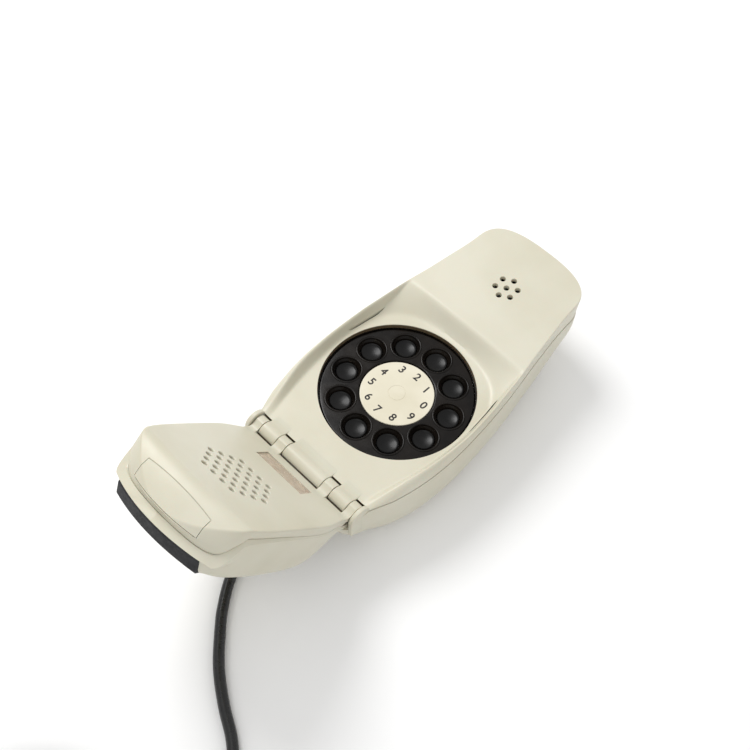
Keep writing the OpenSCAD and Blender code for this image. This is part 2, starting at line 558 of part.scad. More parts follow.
module strain_relief() color([0.06, 0.06, 0.06]) at_exit() difference() {
    union() {
        translate([0, 0, -5]) cylinder(r = relief_r, h = 7);
        translate([0, 0, -6.5]) cylinder(r = relief_r + 1.2, h = 1.5);
        translate([0, 0, 2]) cylinder(r1 = relief_r, r2 = cord_d / 2 + 0.7, h = relief_l - 2);
    }
    translate([0, 0, -10]) cylinder(r = cord_d / 2 + 0.3, h = 60);
}
module cord() color([0.05, 0.05, 0.05]) {
    tube(route(lead_route, 2), cord_d / 2, 10, [1, 0, 0]);
    tube(route(tail_route, 2), cord_d / 2, 10, [1, 0, 0]);
}
module cord_coil() color([0.05, 0.05, 0.05]) translate([coil_at[0], coil_at[1], tie_t])
    rotate_extrude($fn = 96) translate([coil_in_r, 0]) {
        translate([0, 0]) square([coil_r - coil_in_r, 2 * cord_d]);
        for (x = [0, coil_r - coil_in_r]) for (z = [0.5, 1.5]) translate([x, z * cord_d]) circle(r = cord_d / 2);
    }
module cord_tie() color([0.1, 0.1, 0.1]) translate([coil_at[0], coil_at[1], 0]) rotate([0, 0, 250]) difference() {
    inner = coil_in_r - cord_d / 2 - 0.2;
    outer = coil_r + cord_d / 2 + 0.2;
    translate([inner - tie_t, -3, 0]) cube([outer - inner + 2 * tie_t, 6, 2 * cord_d + 2 * tie_t + 0.2]);
    translate([inner, -4, tie_t]) cube([outer - inner, 8, 2 * cord_d + 0.2]);
}
plug_size = [22, 26, 16];
pin_spots = [-6, 0, 6];
module plug_body() color([0.08, 0.08, 0.08]) translate(plug_at) difference() {
    union() {
        hull() for (x = [-1, 1]) for (z = [-1, 1]) for (y = [-3, -plug_size[1] + 3])
            translate([x * (plug_size[0] / 2 - 3), y, z * (plug_size[2] / 2 - 3)]) sphere(r = 3, $fn = 24);
        rotate([-90, 0, 0]) translate([0, 0, -2]) cylinder(r1 = 6, r2 = 4, h = 8);
    }
    rotate([-90, 0, 0]) translate([0, 0, -4]) cylinder(r = cord_d / 2 + 0.3, h = 30);
    for (x = pin_spots) translate([x, -plug_size[1] + 6, 0]) rotate([90, 0, 0]) cylinder(r = 2, h = 10);
}
module plug_pins() color("goldenrod") translate(plug_at) for (x = pin_spots)
    translate([x, -plug_size[1] + 6, 0]) rotate([90, 0, 0]) cylinder(r = 2, h = 19);

rear_shell();
front_shell();
body_screws();
hinge_pin();
hinge_spring();
receiver_gasket();
receiver_capsule();
circuit_board();
line_transformer();
line_capacitor();
terminal_block();
hook_switch();
hook_plunger();
finger_wheel();
number_plate();
dial_spindle();
dial_housing();
dial_screws();
dial_frame();
lower_bridge();
finger_stop();
mainspring();
drive_gear();
pulse_pinion();
pulse_shaft();
pulse_cam();
pulse_gear();
governor_pinion();
governor_weights();
governor_cup();
pulse_contacts();
plunger(0);  // plunger_1
plunger(1);  // plunger_2
plunger(2);  // plunger_3
plunger(3);  // plunger_4
plunger(4);  // plunger_5
plunger(5);  // plunger_6
plunger(6);  // plunger_7
plunger(7);  // plunger_8
plunger(8);  // plunger_9
plunger(9);  // plunger_0
flap_front();
flap_back();
tip_cover();
label_card();
label_window();
foot_bar();
flap_screws();
transmitter_gasket();
transmitter_capsule();
strain_relief();
cord();
cord_coil();
cord_tie();
plug_body();
plug_pins();
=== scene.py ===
"""Looks of the folding telephone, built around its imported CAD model.

Shapes are worked out in millimetres in the row's own frame and turned into metres when a mesh is made.
+Y runs from the hinge to the earpiece, +Z is up, and z = 0 is the table.
"""
import json
import math

import bmesh
import bpy
from mathutils import Matrix, Vector


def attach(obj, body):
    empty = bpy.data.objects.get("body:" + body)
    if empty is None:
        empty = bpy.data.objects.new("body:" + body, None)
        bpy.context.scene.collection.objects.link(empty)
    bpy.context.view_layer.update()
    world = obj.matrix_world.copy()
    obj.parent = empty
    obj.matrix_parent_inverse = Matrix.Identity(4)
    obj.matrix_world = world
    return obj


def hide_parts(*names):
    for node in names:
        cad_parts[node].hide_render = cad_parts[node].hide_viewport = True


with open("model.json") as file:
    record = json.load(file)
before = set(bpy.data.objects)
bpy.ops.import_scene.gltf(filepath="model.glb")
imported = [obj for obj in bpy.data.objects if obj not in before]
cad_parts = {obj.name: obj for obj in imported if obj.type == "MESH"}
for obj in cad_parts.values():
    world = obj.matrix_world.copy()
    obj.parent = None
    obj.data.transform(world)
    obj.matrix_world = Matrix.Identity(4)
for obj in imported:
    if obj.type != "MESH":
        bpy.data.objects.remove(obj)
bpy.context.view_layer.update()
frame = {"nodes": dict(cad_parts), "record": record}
MM = 0.001

# ---- sizes shared with the CAD model, in millimetres ----
FLOOR_Z = 35.5
WALL = 2.2
DIAL_Y = 17.0
HINGE = Vector((0, -38, 33.9))
OPEN_ANGLE = math.radians(130)
BARREL_R = 4.0
FRONT_START = -33.4
TIP_Y = 115.9
TIP_START = 98.0
PLATEAU_Y = 59.9
HOLE_CIRCLE = 25.3
HOLE_ANGLES = [math.radians(53.4 + 36 * k) for k in range(10)]
DIGITS = "1234567890"
CORD_D = 5.0
TIE_T = 0.6

SIDE = [(-47, 26.5), (-43, 31.2), (-38, 33.2), (-33, 34), (-28, 35.9), (-22, 38), (-8, 40.6),
        (8, 41.5), (27, 40.4), (49, 37.6), (77, 32.4), (98, 29.4), (116, 29.3)]
CREST = [(-47, 31), (-33, 31.7), (-19, 34.8), (-8, 37.3), (2, 38.7), (17, 39.5), (33, 38.7),
         (45, 37.2), (58, 35.4), (69, 33.3), (80, 31.6), (98, 29.1), (116, 29)]
CREST_Z = [(-47, 35.7), (-33, 36), (-19, 39), (-8, 40.4), (10, 40.5), (23, 40.6), (60, 43.8), (116, 48.7)]
BASE = [(-47, 23), (-45, 18.5), (-41, 13.5), (-35, 9), (-27, 4.6), (-18, 1.6), (-8, -0.3), (75, -0.3),
        (88, 5), (98, 12), (106, 20), (112, 28), (116, 34.2)]
FLAP_SIDE = [(-5, 29.4), (0, 30.2), (8, 30.6), (24, 32.9), (45, 32.6), (66, 31.6), (78, 30.4), (92, 28)]
FLAP_BACK = [(-5, 6.2), (0, 7), (3.7, 9.7), (7.7, 14.7), (12.7, 23.7), (19.7, 28.7), (28, 30.8),
             (52, 31.6), (68, 30.7), (80, 29.8), (86, 28.6), (89, 25), (90.6, 20)]
FLAP_SEAM = [(-5, 5.6), (0, 6.2), (8, 6.6), (74, 6.6), (78, 8), (82.5, 17.6), (92, 17.9)]


# ---- geometry helpers ----
def curve(x, pts):
    """Catmull-Rom curve through (position, value) points."""
    x = min(max(x, pts[0][0]), pts[-1][0])
    i = 0
    while i < len(pts) - 2 and x >= pts[i + 1][0]:
        i += 1

    def slope(j):
        a, b = pts[max(j - 1, 0)], pts[min(j + 1, len(pts) - 1)]
        return (b[1] - a[1]) / (b[0] - a[0])

    h = pts[i + 1][0] - pts[i][0]
    t = (x - pts[i][0]) / h
    return (pts[i][1] * (2 * t**3 - 3 * t**2 + 1) + slope(i) * h * (t**3 - 2 * t**2 + t)
            + pts[i + 1][1] * (3 * t**2 - 2 * t**3) + slope(i + 1) * h * (t**3 - t**2))


def clamp01(t):
    return min(max(t, 0.0), 1.0)


def soft_ramp(t, k):
    """max(0, t), rounded over k each side of 0."""
    if t <= -k:
        return 0.0
    return t if t >= k else (t + k) ** 2 / (4 * k)


def soft_step(t, k):
    """Clamped ramp from 0 to 1 with both corners rounded."""
    return soft_ramp(t, k) - soft_ramp(t - 1, k)


def soft_max(a, b, k=0.06):
    return (a + b + math.sqrt((a - b) ** 2 + k * k)) / 2


def bezier(p, steps, start=0):
    """Points on the cubic through the four control points p."""
    out = []
    for i in range(start, steps + 1):
        t = i / steps
        w = ((1 - t) ** 3, 3 * t * (1 - t) ** 2, 3 * t * t * (1 - t), t**3)
        out.append(tuple(sum(w[k] * p[k][a] for k in range(4)) for a in range(len(p[0]))))
    return out


def arc(cx, cy, r, a0, a1, steps):
    """Points on a circle between two angles in degrees."""
    return [(cx + r * math.cos(math.radians(a0 + (a1 - a0) * i / steps)),
             cy + r * math.sin(math.radians(a0 + (a1 - a0) * i / steps))) for i in range(steps + 1)]


def mesh_of(verts, faces, name="part"):
    """A mesh in metres with outward normals, from points in millimetres."""
    me = bpy.data.meshes.new(name)
    me.from_pydata([tuple(c * MM for c in v) for v in verts], [], faces)
    bm = bmesh.new()
    bm.from_mesh(me)
    bmesh.ops.remove_doubles(bm, verts=bm.verts, dist=2e-6)
    bmesh.ops.recalc_face_normals(bm, faces=bm.faces)
    bm.to_mesh(me)
    bm.free()
    return me


def object_of(me, name):
    ob = bpy.data.objects.new(name, me)
    bpy.context.scene.collection.objects.link(ob)
    return ob


def loft(rings, caps=(True, True)):
    """Skin of closed rings with equal numbers of points."""
    n = len(rings[0])
    verts = [p for ring in rings for p in ring]
    faces = [(j * n + i, j * n + (i + 1) % n, (j + 1) * n + (i + 1) % n, (j + 1) * n + i)
             for j in range(len(rings) - 1) for i in range(n)]
    if caps[0]:
        faces.append(tuple(range(n)))
    if caps[1]:
        faces.append(tuple(range(len(verts) - n, len(verts))))
    return verts, faces


def lathe(profile, steps=64):
    """Closed solid of revolution about Z from (radius, height) points; ends on the axis where radius is 0."""
    rings = [[(r * math.cos(2 * math.pi * k / steps), r * math.sin(2 * math.pi * k / steps), z)
              for r, z in profile] for k in range(steps)]
    n = len(profile)
    verts = [p for ring in rings for p in ring]
    closed = profile[0][0] > 0 or profile[-1][0] > 0
    spans = range(n) if closed else range(n - 1)
    faces = [(k * n + i, ((k + 1) % steps) * n + i, ((k + 1) % steps) * n + (i + 1) % n, k * n + (i + 1) % n)
             for k in range(steps) for i in spans]
    return verts, faces


def prism(outline, x0, x1):
    """Solid between x0 and x1 of an outline of (y, z) points."""
    return loft([[(x, y, z) for y, z in outline] for x in (x0, x1)])


def block(low, high):
    """Box between two opposite corners."""
    (x0, y0, z0), (x1, y1, z1) = low, high
    return prism([(y0, z0), (y1, z0), (y1, z1), (y0, z1)], x0, x1)


def moved(shape, matrix):
    return [tuple(matrix @ Vector(v)) for v in shape[0]], shape[1]


def together(*shapes):
    verts, faces = [], []
    for v, f in shapes:
        faces += [tuple(i + len(verts) for i in face) for face in f]
        verts += v
    return verts, faces


def applied(ob):
    """ob with its modifiers made real."""
    deps = bpy.context.evaluated_depsgraph_get()
    deps.update()
    me = bpy.data.meshes.new_from_object(ob.evaluated_get(deps))
    ob.modifiers.clear()
    ob.data = me
    return ob


def bevelled(shape, width, segments=2, angle=35):
    """The shape's mesh with its sharp edges rounded."""
    ob = object_of(mesh_of(*shape), "tool")
    m = ob.modifiers.new("round", "BEVEL")
    m.width, m.segments, m.limit_method, m.angle_limit = width * MM, segments, "ANGLE", math.radians(angle)
    me = applied(ob).data
    bpy.data.objects.remove(ob)
    return me


def cut(ob, *meshes, operation="DIFFERENCE", crossing=False):
    """Boolean of ob with each mesh in turn. crossing allows for meshes that cross themselves."""
    for me in meshes:
        tool = object_of(me, "tool")
        m = ob.modifiers.new("cut", "BOOLEAN")
        m.object, m.operation, m.solver, m.use_self = tool, operation, "EXACT", crossing
        applied(ob)
        bpy.data.objects.remove(tool)
    return ob


def one_mesh(*meshes):
    bm = bmesh.new()
    for me in meshes:
        bm.from_mesh(me)
    me = bpy.data.meshes.new("part")
    bm.to_mesh(me)
    bm.free()
    return me


def add(ob, *meshes):
    """ob with more meshes in it."""
    ob.data = one_mesh(ob.data, *meshes)
    return ob


def smooth(ob, angle=32):
    ob.data.polygons.foreach_set("use_smooth", [True] * len(ob.data.polygons))
    ob.data.set_sharp_from_angle(angle=math.radians(angle))
    m = ob.modifiers.new("flat faces first", "WEIGHTED_NORMAL")
    m.keep_sharp = True
    return applied(ob)


def piece(ob, body, material, slot, *nodes):
    """ob rides on a body, has its material and stands for the CAD nodes it replaces."""
    ob.data.materials.clear()
    ob.data.materials.append(material)
    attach(ob, body)
    if nodes:
        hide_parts(*nodes)
    return ob


def spot(x, y, z):
    return Matrix.Translation((x, y, z))


def at_dial(radius, angle, z=0.0):
    return spot(radius * math.cos(angle), DIAL_Y + radius * math.sin(angle), z)


# local flap frame: +Y reaches from the hinge to the tip, +Z goes from the face to the back
FLAP = Matrix.Translation(HINGE) @ Matrix.Rotation(OPEN_ANGLE, 4, "X")

# ---- camera and cord first ----
camera_data = bpy.data.cameras.new("camera")
camera_data.lens = 55.29
camera_data.sensor_width = 36
camera = bpy.data.objects.new("camera", camera_data)
camera.location = (0.17451, -0.1947, 0.46425)
camera.rotation_euler = [math.radians(a) for a in (33.184, -2.278, 45.135)]
bpy.context.scene.collection.objects.link(camera)
bpy.context.scene.camera = camera


def route(points, steps):
    """Smooth points between the route's own points."""
    p = [Vector(q) for q in points]
    out = []
    for i in range(len(p) - 1):
        a, b, c, d = p[max(i - 1, 0)], p[i], p[i + 1], p[min(i + 2, len(p) - 1)]
        for k in range(steps):
            t = k / steps
            out.append(b + 0.5 * t * (c - a) + t * t * (a - 2.5 * b + 2 * c - 0.5 * d)
                       + t**3 * (1.5 * (b - c) + 0.5 * (d - a)))
    return out + [p[-1]]


LEAD = [(0, -46, 17.7), (0, -56, 12.4), (0, -65, 7.7), (0.6, -75, 4), (4, -86, 2.6),
        (12, -97.5, 2.5), (20, -106, 2.5), (31, -116, 2.5), (44, -124.5, 2.5), (57, -131.5, 2.5),
        (66.5, -140, 2.5), (72, -152, 2.5), (73.8, -166, 2.5), (74, -182, 2.5), (74.8, -198, 2.7),
        (76.5, -213, 3.1)]
TAIL = [(38, -180, 8.1), (50, -180, 8.1), (63, -180.8, 8.1), (75, -184, 8.1), (84.5, -191.5, 8.2),
        (90, -202, 8.1), (91.5, -212, 8), (91.5, -216, 8)]
COIL_AT = (38, -219)
COIL_IN, COIL_OUT = 21.3, 39.0
LOW_Z, HIGH_Z = CORD_D / 2 + TIE_T, 1.5 * CORD_D + TIE_T


def coil_points(first, last):
    """Clockwise turns: inwards on the table, then outwards on top of them."""
    a0 = math.atan2(first[1] - COIL_AT[1], first[0] - COIL_AT[0])
    a1 = math.atan2(last[1] - COIL_AT[1], last[0] - COIL_AT[0]) - 14 * math.pi
    steps = 7 * 40
    out = []
    for k in range(1, steps):
        t = k / steps
        a = a0 + (a1 - a0) * t
        r = COIL_IN + (COIL_OUT - COIL_IN) * abs(2 * t - 1)
        z = LOW_Z + (HIGH_Z - LOW_Z) * clamp01((t - 0.47) / 0.06)
        out.append(Vector((COIL_AT[0] + r * math.cos(a), COIL_AT[1] + r * math.sin(a), z)))
    return out


cord_line = route(LEAD, 6)[:-1] + [Vector(LEAD[-1])] + coil_points(LEAD[-1], TAIL[0]) + route(TAIL, 6)
cord_curve = bpy.data.curves.new("line_cord", "CURVE")
cord_curve.dimensions = "3D"
cord_curve.bevel_depth = CORD_D / 2 * MM
cord_curve.bevel_resolution = 4
cord_curve.use_fill_caps = True
spline = cord_curve.splines.new("POLY")
spline.points.add(len(cord_line) - 1)
for point, place in zip(spline.points, cord_line):
    point.co = (*(place * MM), 1)
line_cord = bpy.data.objects.new("line_cord", cord_curve)
bpy.context.scene.collection.objects.link(line_cord)

# ---- materials ----
def material(name, light, dark, scale=60.0, patches=(0.35, 0.65), rough=(0.3, 0.45), bump=0.05, grain=900.0,
             metallic=0.0, coat=0.0, specular=0.5, transmission=0.0, alpha=1.0, subsurface=0.0, seam=None):
    """Moulded or metal surface: two tones in soft patches, uneven gloss and a fine grain.

    seam is the colour of painted shade along the front shell's lower edge, a dark band standing in for the
    shadow in the gap to the rear shell.
    """
    m = bpy.data.materials.new(name)
    m.use_nodes = True
    nodes, links = m.node_tree.nodes, m.node_tree.links
    shader = nodes["Principled BSDF"]
    place = nodes.new("ShaderNodeTexCoord")

    def noise(size, detail):
        n = nodes.new("ShaderNodeTexNoise")
        n.inputs["Scale"].default_value = size
        n.inputs["Detail"].default_value = detail
        links.new(place.outputs["Object"], n.inputs["Vector"])
        return n

    tone = nodes.new("ShaderNodeValToRGB")
    for stop, at, colour in zip(tone.color_ramp.elements, patches, (dark, light)):
        stop.position = at
        stop.color = (*[srgb(c) for c in colour], 1)
    links.new(noise(scale, 4).outputs["Fac"], tone.inputs["Fac"])
    links.new(tone.outputs["Color"], shader.inputs["Base Color"])
    # Painted shade: below z 35.28 mm the colour turns to seam, a dark band standing in for the shadow in the
    # gap between the front and rear shells.
    if seam:
        split = nodes.new("ShaderNodeSeparateXYZ")
        links.new(place.outputs["Object"], split.inputs["Vector"])
        seam_shade_mask = nodes.new("ShaderNodeMapRange")
        seam_shade_mask.interpolation_type = "SMOOTHSTEP"
        for socket, value in (("From Min", 0.03528), ("From Max", 0.0354), ("To Min", 1), ("To Max", 0)):
            seam_shade_mask.inputs[socket].default_value = value
        links.new(split.outputs["Z"], seam_shade_mask.inputs["Value"])
        seam_shade = nodes.new("ShaderNodeMix")
        seam_shade.data_type = "RGBA"
        links.new(seam_shade_mask.outputs["Result"], seam_shade.inputs["Factor"])
        links.new(tone.outputs["Color"], seam_shade.inputs["A"])
        seam_shade.inputs["B"].default_value = (*[srgb(c) for c in seam], 1)
        links.new(seam_shade.outputs["Result"], shader.inputs["Base Color"])
    gloss = nodes.new("ShaderNodeMapRange")
    gloss.inputs["From Min"].default_value = 0.3
    gloss.inputs["From Max"].default_value = 0.7
    gloss.inputs["To Min"].default_value, gloss.inputs["To Max"].default_value = rough
    links.new(noise(scale * 3.3, 6).outputs["Fac"], gloss.inputs["Value"])
    links.new(gloss.outputs["Result"], shader.inputs["Roughness"])
    relief = nodes.new("ShaderNodeBump")
    relief.inputs["Strength"].default_value = bump
    relief.inputs["Distance"].default_value = 0.0002
    links.new(noise(grain, 3).outputs["Fac"], relief.inputs["Height"])
    links.new(relief.outputs["Normal"], shader.inputs["Normal"])
    shader.inputs["Metallic"].default_value = metallic
    shader.inputs["Coat Weight"].default_value = coat
    shader.inputs["Coat Roughness"].default_value = 0.12
    shader.inputs["Specular IOR Level"].default_value = specular
    shader.inputs["Transmission Weight"].default_value = transmission
    shader.inputs["Alpha"].default_value = alpha
    shader.inputs["Subsurface Weight"].default_value = subsurface
    shader.inputs["Subsurface Scale"].default_value = 0.002
    return m


def srgb(value):
    """A 0 to 255 screen value as linear light."""
    v = value / 255
    return v / 12.92 if v <= 0.04045 else ((v + 0.055) / 1.055) ** 2.4


IVORY = material("aged_ivory_abs", (211, 207, 189), (202, 197, 176), 22, rough=(0.34, 0.46), bump=0.10,
                 grain=1400, subsurface=0.05)
# Front shell ivory with a painted shade band, dark brown, along its lower edge for the shadow in the seam.
IVORY_TOP_SEAM_SHADE = material("aged_ivory_top_seam_shade", (211, 207, 189), (202, 197, 176), 22, rough=(0.34, 0.46), bump=0.10,
                     grain=1400, subsurface=0.05, seam=(96, 82, 62))
MATERIALS = {
    "ivory": IVORY,
    "dial_black": material("dial_black_gloss", (22, 17, 13), (13, 10, 8), 90, rough=(0.2, 0.3), bump=0.04,
                           specular=0.2),
    "plunger_black": material("plunger_black", (9, 8, 8), (5, 5, 5), 120, rough=(0.24, 0.34), bump=0.03,
                              specular=0.25),
    "plate_ivory": material("plate_ivory", (226, 220, 200), (214, 207, 184), 45, rough=(0.3, 0.42),
                            bump=0.06),
    "label_card": material("label_card", (202, 182, 160), (186, 165, 143), 220, rough=(0.75, 0.9), bump=0.3,
                           grain=2600),
    "clear": material("clear_window", (244, 240, 232), (236, 232, 222), 40, rough=(0.08, 0.14), bump=0.02,
                      transmission=0.9, alpha=0.35),
    "rubber": material("foot_rubber", (46, 46, 48), (34, 34, 36), 160, rough=(0.62, 0.8), bump=0.35,
                       grain=1800, specular=0.35),
    "cord_black": material("cord_pvc", (22, 22, 23), (12, 12, 13), 130, rough=(0.24, 0.36), bump=0.05),
    "steel": material("zinc_steel", (186, 186, 182), (158, 158, 155), 260, rough=(0.25, 0.4), bump=0.05,
                      metallic=1.0),
    "brass": material("gear_brass", (201, 168, 96), (176, 142, 74), 240, rough=(0.26, 0.4), bump=0.05,
                      metallic=1.0),
    "board": material("board_paper", (158, 118, 70), (138, 99, 55), 300, rough=(0.5, 0.65), bump=0.1),
    "coil_tape": material("coil_tape", (190, 150, 62), (166, 126, 46), 260, rough=(0.35, 0.5), bump=0.1),
    "film": material("film_yellow", (206, 164, 66), (190, 146, 50), 180, rough=(0.2, 0.32), bump=0.03),
    "nylon": material("white_nylon", (228, 226, 216), (214, 211, 200), 150, rough=(0.4, 0.55), bump=0.06,
                      subsurface=0.1),
    "grey_metal": material("capsule_metal", (120, 120, 118), (96, 96, 95), 260, rough=(0.35, 0.5), bump=0.05,
                           metallic=1.0),
    "plug_black": material("plug_black", (32, 31, 31), (22, 21, 21), 120, rough=(0.4, 0.55), bump=0.15),
}
INK = material("dial_ink", (34, 28, 24), (22, 18, 16), 300, rough=(0.45, 0.6), bump=0.02)
for part in frame["record"]["subparts"]:
    shown = frame["nodes"][part["node"]]
    shown.data.materials.clear()
    shown.data.materials.append(MATERIALS[part["material_slot"]])


# ---- body shells ----
def tip_factor(y, inset=0.0):
    return (1 - clamp01((y - TIP_START) / (TIP_Y - inset - TIP_START)) ** 3.2) ** (1 / 2.6)


def side_w(y, inset=0.0):
    return max((curve(y, SIDE) - inset) * tip_factor(y, inset), 0.2)


def crest_w(y, inset=0.0):
    return max((curve(y, CREST) - inset) * tip_factor(y, inset), 0.15)


def well_y(x):
    return DIAL_Y + 37.5 * (1 - clamp01(abs(x) / 38.0) ** 2.75) ** (1 / 2.75)


def skin_z(x, y, soft=True):
    """Height of the top skin: well floor, walls and earpiece plateau."""
    wy, fs = well_y(x), curve(y, CREST) - 2.9
    front = (y - wy) / (PLATEAU_Y - wy)
    flank = (abs(x) - fs) / 2.4
    if soft:
        level = soft_max(soft_step(front, 1.0 / max(PLATEAU_Y - wy, 1)), soft_step(flank, 0.3))
    else:
        level = clamp01(max(front, flank))
    return FLOOR_Z + (curve(y, CREST_Z) - FLOOR_Z) * min(level, 1.0)


def tip_stations(inset, steps=26):
    """Stations that crowd towards the tip, where the plan turns."""
    last = TIP_Y - inset - 0.02
    return [TIP_START + (last - TIP_START) * math.sin(math.radians(90 * k / steps)) ** 0.625
            for k in range(1, steps + 1)]


def stations(first, inset=0.0, step=1.2):
    count = int((TIP_START - first) / step)
    return [first + (TIP_START - first) * k / count for k in range(count + 1)] + tip_stations(inset)


CREST_OFFSETS = (0.0, 0.25, 0.5, 0.75, 1.0, 1.3, 1.6, 1.9, 2.2, 2.5, 2.8, 3.1, 3.5, 4.1, 5.2)
ACROSS = 30


def top_half(y):
    """One half of the front shell's section, from the seam up over the crest and in to the middle."""
    s = side_w(y)
    c = min(crest_w(y), s - 0.05 * s / 40)
    cz = curve(y, CREST_Z)
    shrink = min(1.0, c / 12)
    s -= 0.3 * shrink
    out = [(s - 0.9 * shrink, 35.1), (s - 0.2 * shrink, 35.15), (s, 35.4)]
    out += bezier([(s, 35.4), (s - 0.22 * (s - c), 35.4 + 0.72 * (cz - 35.4)), (c + 0.9 * shrink, cz - 0.1),
                   (c + 0.1 * shrink, cz)], 9, 1)
    inner = c - CREST_OFFSETS[-1] * shrink
    xs = [c - off * shrink for off in CREST_OFFSETS[1:]]
    xs += [inner * (1 - k / ACROSS) for k in range(1, ACROSS + 1)]
    return out + [(x, min(skin_z(x, y), cz)) for x in xs]


def front_ring(y):
    half = top_half(y)
    s = side_w(y)
    t = max(s - WALL - 0.15, 0.1)
    right = [(t, 32.5), (t, 35.0)] + half
    left = [(-x, z) for x, z in reversed(right)]
    return [(x, y, z) for x, z in right + left[1:]]


def cavity_ring(y):
    s = side_w(y, WALL + 1.3)
    c = min(crest_w(y, WALL), s)
    xs = [s * (1 - k / 20) for k in range(41)]
    drop = WALL + 3 * clamp01((-24.9 - y) / 3.5)
    roof = [(x, y, max(skin_z(x * c / s * 1.03, y, False) - drop, 22)) for x in xs]
    return [(s, y, 20)] + roof + [(-s, y, 20)]


def cylinder(r, low, high, steps=64):
    return lathe([(0, low), (r, low), (r, high), (0, high)], steps)


RECEIVER = spot(0, 87.7, 46.2) @ Matrix.Rotation(math.radians(5), 4, "X")
BODY_KNUCKLES = [(-26.2, -17), (-11.3, 11.3), (17, 26.2)]
FLAP_KNUCKLES = [(-30.5, -26.5), (-16.7, -11.6), (11.6, 16.7), (26.5, 30.5)]


def knuckle(shape):
    """Hinge barrel with a web that runs out into the skin, its edges rounded."""
    return bevelled(shape, 0.35, 3, 50)


HINGE_AXIS = Matrix.Translation(HINGE) @ Matrix.Rotation(math.radians(90), 4, "Y")


def hinge_bore(r=1.55):
    return mesh_of(*moved(cylinder(r, -45, 45, 32), HINGE_AXIS))


body_foot = (arc(HINGE.y, HINGE.z, BARREL_R, 58, 300, 28)
             + [(-33, 33), (-29.5, 33), (-29.5, 35.52)]
             + bezier([(-29.5, 35.52), (-32.6, 35.5), (-34, 35.9), (-35.6, 37.1)], 8, 1))

top_shell = object_of(mesh_of(*loft([front_ring(y) for y in stations(FRONT_START)])), "top_shell")
cut(top_shell, mesh_of(*loft([cavity_ring(y) for y in stations(-28.4, WALL + 1.3, 2.4)])))
dial_hole = lathe([(0, 20), (35.3, 20), (35.3, 35.05), (35.4, 35.4), (35.6, 45), (0, 45)], 160)
cut(top_shell, bevelled(moved(dial_hole, spot(0, DIAL_Y, 0)), 0.01, 1, 89))
receiver_spots = [(0, 0)] + [(5.26 * math.cos(math.radians(a)), 5.26 * math.sin(math.radians(a)))
                             for a in range(30, 390, 60)]
hole = lathe([(0, -12), (1.3, -12), (1.3, 0.35), (1.55, 0.75), (1.55, 8), (0, 8)], 28)
cut(top_shell, mesh_of(*together(*[moved(hole, RECEIVER @ spot(x, y, -0.6)) for x, y in receiver_spots])))
add(top_shell, *[knuckle(prism(body_foot, a, b)) for a, b in BODY_KNUCKLES])
cut(top_shell, hinge_bore())
piece(smooth(top_shell), "body", IVORY_TOP_SEAM_SHADE, "ivory", "front_shell")


def under_ring(y, inset=0.0, top=None, steps=72):
    s = side_w(y, inset)
    low = curve(min(y + (inset if y > 0 else -inset), TIP_Y), BASE) + inset
    rim = 34.88 if top is None else top
    depth = max(rim - low, 0.5)
    out = []
    for i in range(steps + 1):
        a = math.pi * i / steps
        cx, cz = math.cos(a), math.sin(a)
        k = (abs(cx) ** 5 + abs(cz) ** 5) ** (-1 / 5)
        side = 0.35 if top is None else 0.0
        out.append((s * cx * k, y, rim - side - (depth - side) * max(cz, 0) * k))
    if top is not None:
        return out
    lip = min(0.12, s / 30)
    return ([(s - 5 * lip, y, rim), (s - lip, y, rim - 0.06)] + out
            + [(-s + lip, y, rim - 0.06), (-s + 5 * lip, y, rim)])


BOSSES = [(-27, -23), (27, -23), (-25, 66), (25, 66)]
EXIT = spot(0, -45.5, 18) @ Matrix.Rotation(math.radians(118), 4, "X")
base_stations = stations(-47)
base_shell = object_of(mesh_of(*loft([under_ring(y) for y in base_stations])), "base_shell")
cut(base_shell, mesh_of(*loft([under_ring(y, WALL, 37.0, 48) for y in stations(-47 + WALL, WALL, 2.4)])))
cut(base_shell, mesh_of(*block((-60, -60, -6), (60, 150, 0))))
cut(base_shell, bevelled(block((-31, -50, 27), (31, -38, 50)), 0.4),
    mesh_of(*moved(cylinder(8.2, -31, 31, 72), HINGE_AXIS)),
    mesh_of(*moved(cylinder(4.7, -14, 8, 40), EXIT)))
EAR_R = 5.3
ear_shape = arc(HINGE.y, HINGE.z, EAR_R, 0, 180, 24) + [(HINGE.y - EAR_R, 24), (HINGE.y + EAR_R, 24)]
ears = [bevelled(prism(ear_shape, x0, x1), 0.5, 3) for x0, x1 in ((31.02, 33.2), (-33.2, -31.02))]
posts = [mesh_of(*moved(lathe([(1.65, 0.9), (3.4, 0.9), (3.4, 12), (1.65, 12)], 32), spot(x, y, 0)))
         for x, y in BOSSES]
cut(base_shell, mesh_of(*together(*[moved(cylinder(2.75, -2, 10, 32), spot(x, y, 0)) for x, y in BOSSES])))
wells = [mesh_of(*moved(lathe([(2.75, low), (3.5, low), (3.5, 10), (2.75, 10)], 32), spot(x, y, 0)))
         for x, y in BOSSES for low in (max(curve(y, BASE), 0) + 1.5,)]
add(base_shell, *ears, *posts, *wells)
piece(smooth(base_shell), "body", IVORY, "ivory", "rear_shell")

